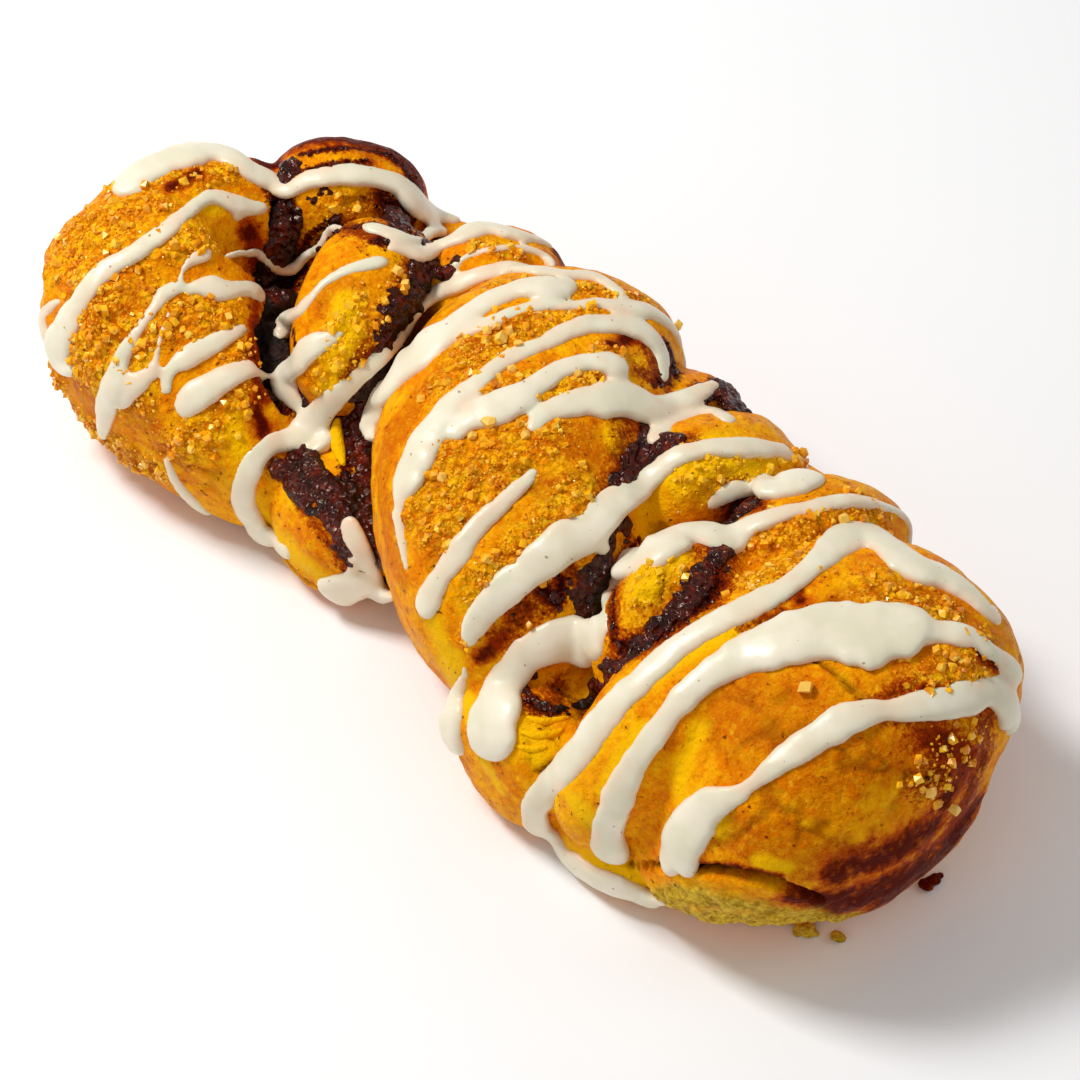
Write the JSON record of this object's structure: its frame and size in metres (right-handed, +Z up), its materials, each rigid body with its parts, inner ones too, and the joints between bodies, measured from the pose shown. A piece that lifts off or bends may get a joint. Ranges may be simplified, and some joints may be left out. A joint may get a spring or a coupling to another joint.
{
  "type": "iced cinnamon twist pastry",
  "caption": "Long twisted pastry of soft baked dough folds with dark cinnamon filling in the seams, white icing drizzled across it and coarse sugar on the crust.",
  "frame": {"origin": "centre of the footprint, on the surface that the pastry rests on", "axes": "+X along the twist towards its higher, rounder end, +Y across it, +Z up"},
  "size_m": [0.1654, 0.0759, 0.0438],
  "materials": {
    "dough": "baked crust, satin where it is glazed",
    "cinnamon_filling": "sticky, glossy and grainy",
    "icing": "smooth set sugar icing, satin",
    "coarse_sugar": "clear amber crystals"
  },
  "bodies": {
    "root": {"dough": "dough", "cinnamon_filling": "cinnamon_filling"}
  },
  "joints": []
}
